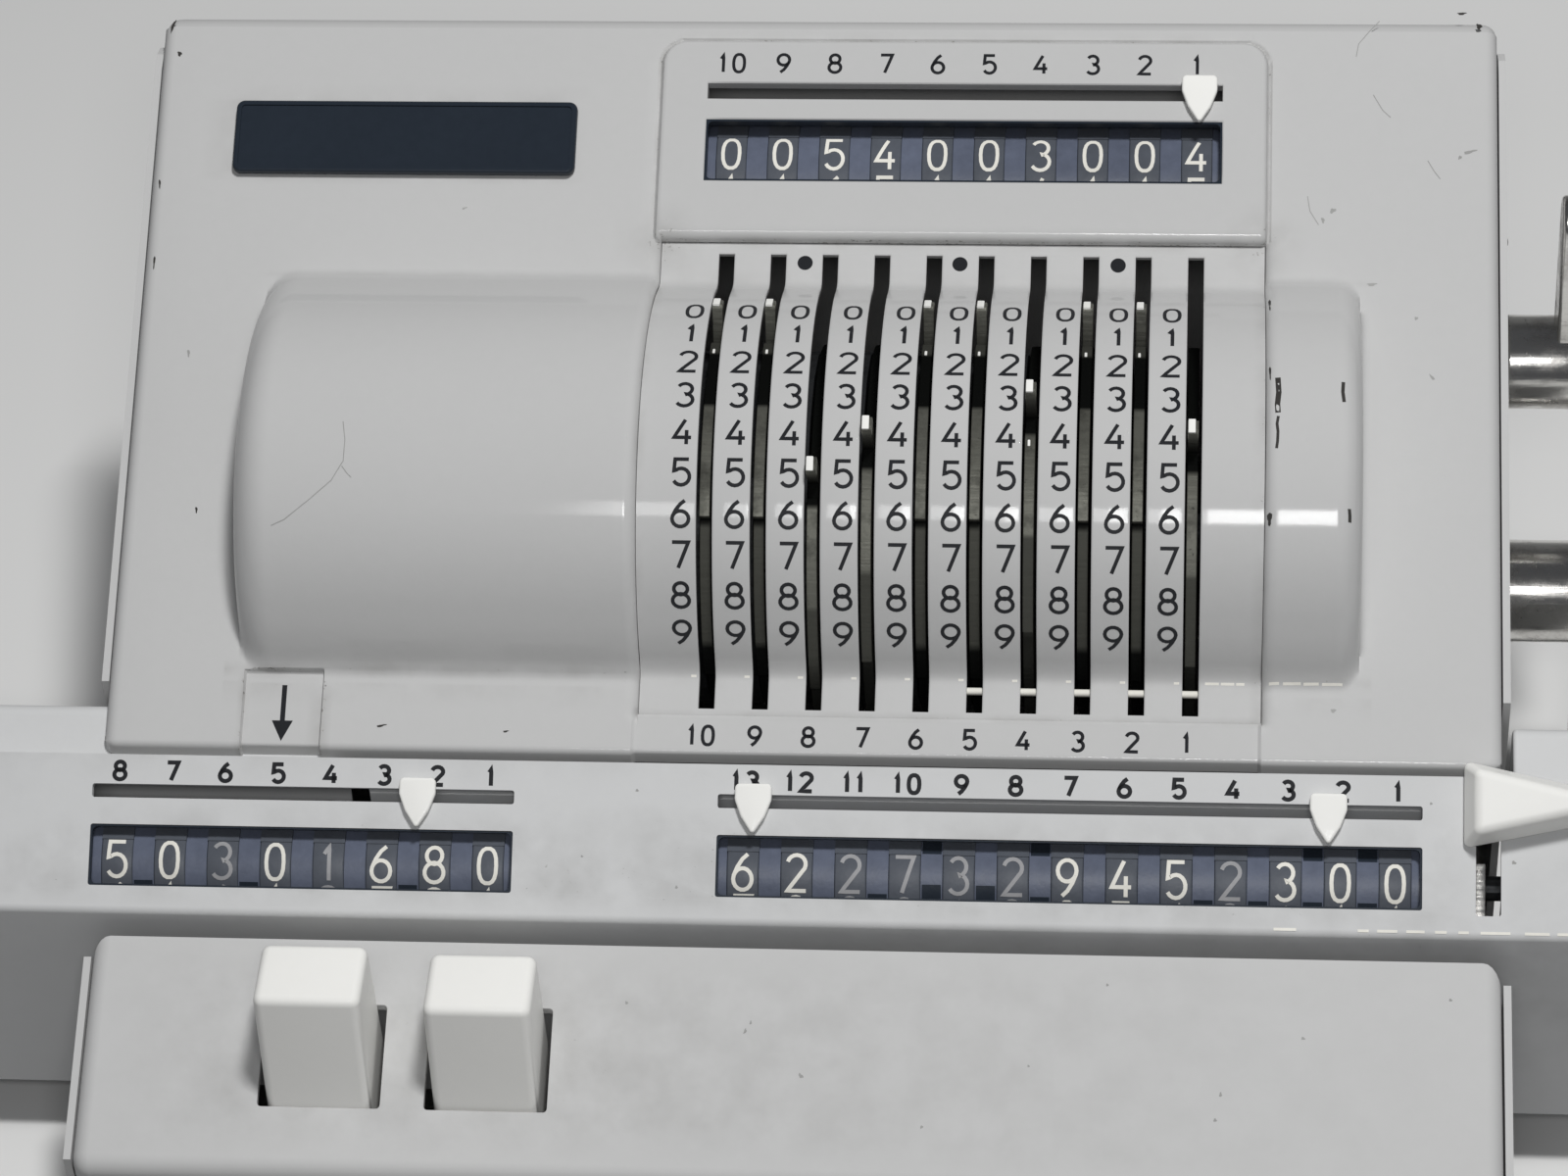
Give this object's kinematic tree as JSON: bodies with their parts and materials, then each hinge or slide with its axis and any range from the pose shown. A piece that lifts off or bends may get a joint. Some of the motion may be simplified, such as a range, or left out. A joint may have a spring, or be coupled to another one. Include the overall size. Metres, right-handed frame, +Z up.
{
  "type": "pinwheel calculator",
  "caption": "Hand-cranked pinwheel calculator in grey enamel with slotted setting drum, sliding register carriage, step keys and side crank.",
  "frame": {"origin": "middle of the underside of the bounding box, on the plane of the feet", "axes": "+X to the operator's right along the rotor and carriage, +Y to the back, +Z up"},
  "size_m": [0.3252, 0.179, 0.1248],
  "materials": {
    "bright_steel": "bright machined steel with light oil",
    "carriage_enamel": "light grey enamel, semi-gloss, cooler on the front face",
    "chrome": "polished chrome, slightly worn",
    "dial_enamel": "blue-black enamel number wheel with pale figures",
    "frame_steel": "plain steel with a dull oxide finish",
    "grey_enamel": "light warm grey enamel, semi-gloss, slightly worn at edges",
    "slate_plate": "dark slate enamel plate, left bare",
    "white_plastic": "white moulded plastic, soft gloss"
  },
  "bodies": {
    "housing": {"base_pan": "frame_steel", "chassis": "grey_enamel", "front_deck": "grey_enamel", "top_cover": "grey_enamel", "drum_cover": "grey_enamel", "nameplate": "slate_plate"},
    "rotor": {"rotor": "bright_steel"},
    "crank": {"crank": "chrome"},
    "crank_grip": {"crank_grip": "white_plastic"},
    "clear_lever": {"clear_lever": "chrome"},
    "carriage": {"carriage_cover": "carriage_enamel", "carriage_frame": "frame_steel"},
    "check_dial_1": {"check_dial_1": "dial_enamel"},
    "check_dial_10": {"check_dial_10": "dial_enamel"},
    "check_dial_2": {"check_dial_2": "dial_enamel"},
    "check_dial_3": {"check_dial_3": "dial_enamel"},
    "check_dial_4": {"check_dial_4": "dial_enamel"},
    "check_dial_5": {"check_dial_5": "dial_enamel"},
    "check_dial_6": {"check_dial_6": "dial_enamel"},
    "check_dial_7": {"check_dial_7": "dial_enamel"},
    "check_dial_8": {"check_dial_8": "dial_enamel"},
    "check_dial_9": {"check_dial_9": "dial_enamel"},
    "check_pointer": {"check_pointer": "white_plastic"},
    "counter_dial_1": {"counter_dial_1": "dial_enamel"},
    "counter_dial_2": {"counter_dial_2": "dial_enamel"},
    "counter_dial_3": {"counter_dial_3": "dial_enamel"},
    "counter_dial_4": {"counter_dial_4": "dial_enamel"},
    "counter_dial_5": {"counter_dial_5": "dial_enamel"},
    "counter_dial_6": {"counter_dial_6": "dial_enamel"},
    "counter_dial_7": {"counter_dial_7": "dial_enamel"},
    "counter_dial_8": {"counter_dial_8": "dial_enamel"},
    "counter_pointer": {"counter_pointer": "white_plastic"},
    "result_clear_knob": {"result_clear_knob": "white_plastic"},
    "result_dial_1": {"result_dial_1": "dial_enamel"},
    "result_dial_10": {"result_dial_10": "dial_enamel"},
    "result_dial_11": {"result_dial_11": "dial_enamel"},
    "result_dial_12": {"result_dial_12": "dial_enamel"},
    "result_dial_13": {"result_dial_13": "dial_enamel"},
    "result_dial_2": {"result_dial_2": "dial_enamel"},
    "result_dial_3": {"result_dial_3": "dial_enamel"},
    "result_dial_4": {"result_dial_4": "dial_enamel"},
    "result_dial_5": {"result_dial_5": "dial_enamel"},
    "result_dial_6": {"result_dial_6": "dial_enamel"},
    "result_dial_7": {"result_dial_7": "dial_enamel"},
    "result_dial_8": {"result_dial_8": "dial_enamel"},
    "result_dial_9": {"result_dial_9": "dial_enamel"},
    "result_pointer_left": {"result_pointer_left": "white_plastic"},
    "result_pointer_right": {"result_pointer_right": "white_plastic"},
    "setting_lever_1": {"setting_lever_1": "bright_steel"},
    "setting_lever_10": {"setting_lever_10": "bright_steel"},
    "setting_lever_2": {"setting_lever_2": "bright_steel"},
    "setting_lever_3": {"setting_lever_3": "bright_steel"},
    "setting_lever_4": {"setting_lever_4": "bright_steel"},
    "setting_lever_5": {"setting_lever_5": "bright_steel"},
    "setting_lever_6": {"setting_lever_6": "bright_steel"},
    "setting_lever_7": {"setting_lever_7": "bright_steel"},
    "setting_lever_8": {"setting_lever_8": "bright_steel"},
    "setting_lever_9": {"setting_lever_9": "bright_steel"},
    "step_key_left": {"step_key_left": "white_plastic"},
    "step_key_right": {"step_key_right": "white_plastic"}
  },
  "joints": [
    {"name": "crank_turn", "type": "hinge", "parent": "housing", "child": "crank", "pos_m": [0.0504, 0.02682, 0.05189], "axis": [1, 0, 0], "continuous": true},
    {"name": "grip_turn", "type": "hinge", "parent": "crank", "child": "crank_grip", "pos_m": [0.0504, 0.02682, 0.01389], "axis": [1, 0, 0], "continuous": true},
    {"name": "rotor_turn", "type": "hinge", "parent": "housing", "child": "rotor", "pos_m": [0.0504, 0.0195, 0.072], "axis": [1, 0, 0], "continuous": true},
    {"name": "set_column_1", "type": "hinge", "parent": "rotor", "child": "setting_lever_1", "pos_m": [0.0504, 0.0195, 0.072], "axis": [1, 0, 0], "range_deg": [-40, 50]},
    {"name": "check_column_1", "type": "hinge", "parent": "housing", "child": "check_dial_1", "pos_m": [0.0504, 0.06841, 0.10398], "axis": [1, 0, 0], "range_deg": [-180, 144]},
    {"name": "set_column_2", "type": "hinge", "parent": "rotor", "child": "setting_lever_2", "pos_m": [0.0504, 0.0195, 0.072], "axis": [1, 0, 0], "range_deg": [0, 90]},
    {"name": "check_column_2", "type": "hinge", "parent": "housing", "child": "check_dial_2", "pos_m": [0.0504, 0.06841, 0.10398], "axis": [1, 0, 0], "range_deg": [-324, 0]},
    {"name": "set_column_3", "type": "hinge", "parent": "rotor", "child": "setting_lever_3", "pos_m": [0.0504, 0.0195, 0.072], "axis": [1, 0, 0], "range_deg": [0, 90]},
    {"name": "check_column_3", "type": "hinge", "parent": "housing", "child": "check_dial_3", "pos_m": [0.0504, 0.06841, 0.10398], "axis": [1, 0, 0], "range_deg": [-324, 0]},
    {"name": "set_column_4", "type": "hinge", "parent": "rotor", "child": "setting_lever_4", "pos_m": [0.0504, 0.0195, 0.072], "axis": [1, 0, 0], "range_deg": [-30, 60]},
    {"name": "check_column_4", "type": "hinge", "parent": "housing", "child": "check_dial_4", "pos_m": [0.0504, 0.06841, 0.10398], "axis": [1, 0, 0], "range_deg": [-216, 108]},
    {"name": "set_column_5", "type": "hinge", "parent": "rotor", "child": "setting_lever_5", "pos_m": [0.0504, 0.0195, 0.072], "axis": [1, 0, 0], "range_deg": [0, 90]},
    {"name": "check_column_5", "type": "hinge", "parent": "housing", "child": "check_dial_5", "pos_m": [0.0504, 0.06841, 0.10398], "axis": [1, 0, 0], "range_deg": [-324, 0]},
    {"name": "set_column_6", "type": "hinge", "parent": "rotor", "child": "setting_lever_6", "pos_m": [0.0504, 0.0195, 0.072], "axis": [1, 0, 0], "range_deg": [0, 90]},
    {"name": "check_column_6", "type": "hinge", "parent": "housing", "child": "check_dial_6", "pos_m": [0.0504, 0.06841, 0.10398], "axis": [1, 0, 0], "range_deg": [-324, 0]},
    {"name": "set_column_7", "type": "hinge", "parent": "rotor", "child": "setting_lever_7", "pos_m": [0.0504, 0.0195, 0.072], "axis": [1, 0, 0], "range_deg": [-40, 50]},
    {"name": "check_column_7", "type": "hinge", "parent": "housing", "child": "check_dial_7", "pos_m": [0.0504, 0.06841, 0.10398], "axis": [1, 0, 0], "range_deg": [-180, 144]},
    {"name": "set_column_8", "type": "hinge", "parent": "rotor", "child": "setting_lever_8", "pos_m": [0.0504, 0.0195, 0.072], "axis": [1, 0, 0], "range_deg": [-50, 40]},
    {"name": "check_column_8", "type": "hinge", "parent": "housing", "child": "check_dial_8", "pos_m": [0.0504, 0.06841, 0.10398], "axis": [1, 0, 0], "range_deg": [-144, 180]},
    {"name": "set_column_9", "type": "hinge", "parent": "rotor", "child": "setting_lever_9", "pos_m": [0.0504, 0.0195, 0.072], "axis": [1, 0, 0], "range_deg": [0, 90]},
    {"name": "check_column_9", "type": "hinge", "parent": "housing", "child": "check_dial_9", "pos_m": [0.0504, 0.06841, 0.10398], "axis": [1, 0, 0], "range_deg": [-324, 0]},
    {"name": "set_column_10", "type": "hinge", "parent": "rotor", "child": "setting_lever_10", "pos_m": [0.0504, 0.0195, 0.072], "axis": [1, 0, 0], "range_deg": [0, 90]},
    {"name": "check_column_10", "type": "hinge", "parent": "housing", "child": "check_dial_10", "pos_m": [0.0504, 0.06841, 0.10398], "axis": [1, 0, 0], "range_deg": [-324, 0]},
    {"name": "carriage_shift", "type": "slide", "parent": "housing", "child": "carriage", "axis": [1, 0, 0], "range_m": [-0.034, 0.0255]},
    {"name": "counter_column_1", "type": "hinge", "parent": "carriage", "child": "counter_dial_1", "pos_m": [0.0504, -0.03718, 0.05001], "axis": [1, 0, 0], "continuous": true},
    {"name": "counter_column_2", "type": "hinge", "parent": "carriage", "child": "counter_dial_2", "pos_m": [0.0504, -0.03718, 0.05001], "axis": [1, 0, 0], "continuous": true},
    {"name": "counter_column_3", "type": "hinge", "parent": "carriage", "child": "counter_dial_3", "pos_m": [0.0504, -0.03718, 0.05001], "axis": [1, 0, 0], "continuous": true},
    {"name": "counter_column_4", "type": "hinge", "parent": "carriage", "child": "counter_dial_4", "pos_m": [0.0504, -0.03718, 0.05001], "axis": [1, 0, 0], "continuous": true},
    {"name": "counter_column_5", "type": "hinge", "parent": "carriage", "child": "counter_dial_5", "pos_m": [0.0504, -0.03718, 0.05001], "axis": [1, 0, 0], "continuous": true},
    {"name": "counter_column_6", "type": "hinge", "parent": "carriage", "child": "counter_dial_6", "pos_m": [0.0504, -0.03718, 0.05001], "axis": [1, 0, 0], "continuous": true},
    {"name": "counter_column_7", "type": "hinge", "parent": "carriage", "child": "counter_dial_7", "pos_m": [0.0504, -0.03718, 0.05001], "axis": [1, 0, 0], "continuous": true},
    {"name": "counter_column_8", "type": "hinge", "parent": "carriage", "child": "counter_dial_8", "pos_m": [0.0504, -0.03718, 0.05001], "axis": [1, 0, 0], "continuous": true},
    {"name": "result_column_1", "type": "hinge", "parent": "carriage", "child": "result_dial_1", "pos_m": [0.0504, -0.03718, 0.05001], "axis": [1, 0, 0], "continuous": true},
    {"name": "result_column_2", "type": "hinge", "parent": "carriage", "child": "result_dial_2", "pos_m": [0.0504, -0.03718, 0.05001], "axis": [1, 0, 0], "continuous": true},
    {"name": "result_column_3", "type": "hinge", "parent": "carriage", "child": "result_dial_3", "pos_m": [0.0504, -0.03718, 0.05001], "axis": [1, 0, 0], "continuous": true},
    {"name": "result_column_4", "type": "hinge", "parent": "carriage", "child": "result_dial_4", "pos_m": [0.0504, -0.03718, 0.05001], "axis": [1, 0, 0], "continuous": true},
    {"name": "result_column_5", "type": "hinge", "parent": "carriage", "child": "result_dial_5", "pos_m": [0.0504, -0.03718, 0.05001], "axis": [1, 0, 0], "continuous": true},
    {"name": "result_column_6", "type": "hinge", "parent": "carriage", "child": "result_dial_6", "pos_m": [0.0504, -0.03718, 0.05001], "axis": [1, 0, 0], "continuous": true},
    {"name": "result_column_7", "type": "hinge", "parent": "carriage", "child": "result_dial_7", "pos_m": [0.0504, -0.03718, 0.05001], "axis": [1, 0, 0], "continuous": true},
    {"name": "result_column_8", "type": "hinge", "parent": "carriage", "child": "result_dial_8", "pos_m": [0.0504, -0.03718, 0.05001], "axis": [1, 0, 0], "continuous": true},
    {"name": "result_column_9", "type": "hinge", "parent": "carriage", "child": "result_dial_9", "pos_m": [0.0504, -0.03718, 0.05001], "axis": [1, 0, 0], "continuous": true},
    {"name": "result_column_10", "type": "hinge", "parent": "carriage", "child": "result_dial_10", "pos_m": [0.0504, -0.03718, 0.05001], "axis": [1, 0, 0], "continuous": true},
    {"name": "result_column_11", "type": "hinge", "parent": "carriage", "child": "result_dial_11", "pos_m": [0.0504, -0.03718, 0.05001], "axis": [1, 0, 0], "continuous": true},
    {"name": "result_column_12", "type": "hinge", "parent": "carriage", "child": "result_dial_12", "pos_m": [0.0504, -0.03718, 0.05001], "axis": [1, 0, 0], "continuous": true},
    {"name": "result_column_13", "type": "hinge", "parent": "carriage", "child": "result_dial_13", "pos_m": [0.0504, -0.03718, 0.05001], "axis": [1, 0, 0], "continuous": true},
    {"name": "check_pointer_shift", "type": "slide", "parent": "housing", "child": "check_pointer", "axis": [1, 0, 0], "range_m": [-0.0791, 0.002]},
    {"name": "counter_pointer_shift", "type": "slide", "parent": "carriage", "child": "counter_pointer", "axis": [1, 0, 0], "range_m": [-0.0506, 0.0135]},
    {"name": "result_pointer_left_shift", "type": "slide", "parent": "carriage", "child": "result_pointer_left", "axis": [1, 0, 0], "range_m": [-0.0039, 0.0462]},
    {"name": "result_pointer_right_shift", "type": "slide", "parent": "carriage", "child": "result_pointer_right", "axis": [1, 0, 0], "range_m": [-0.0373, 0.0128]},
    {"name": "result_clear_pull", "type": "slide", "parent": "carriage", "child": "result_clear_knob", "axis": [0, -0.8192, -0.5736], "range_m": [0, 0.0155], "stiffness_N_per_m": 60, "springref_m": -0.004},
    {"name": "step_key_left_press", "type": "slide", "parent": "housing", "child": "step_key_left", "axis": [0, -0.165, -0.9863], "range_m": [0, 0.004], "stiffness_N_per_m": 300, "springref_m": -0.002},
    {"name": "step_key_right_press", "type": "slide", "parent": "housing", "child": "step_key_right", "axis": [0, -0.165, -0.9863], "range_m": [0, 0.004], "stiffness_N_per_m": 300, "springref_m": -0.002},
    {"name": "clear_lever_pull", "type": "hinge", "parent": "housing", "child": "clear_lever", "pos_m": [0.0504, 0.0445, 0.0874], "axis": [1, 0, 0], "range_deg": [0, 50], "stiffness_Nm_per_rad": 0.03, "springref_deg": -11.46}
  ],
  "couplings": [
    {"joint": "rotor_turn", "follows": "crank_turn", "ratio": -1},
    {"joint": "check_column_1", "follows": "set_column_1", "ratio": -3.6},
    {"joint": "check_column_2", "follows": "set_column_2", "ratio": -3.6},
    {"joint": "check_column_3", "follows": "set_column_3", "ratio": -3.6},
    {"joint": "check_column_4", "follows": "set_column_4", "ratio": -3.6},
    {"joint": "check_column_5", "follows": "set_column_5", "ratio": -3.6},
    {"joint": "check_column_6", "follows": "set_column_6", "ratio": -3.6},
    {"joint": "check_column_7", "follows": "set_column_7", "ratio": -3.6},
    {"joint": "check_column_8", "follows": "set_column_8", "ratio": -3.6},
    {"joint": "check_column_9", "follows": "set_column_9", "ratio": -3.6},
    {"joint": "check_column_10", "follows": "set_column_10", "ratio": -3.6}
  ]
}
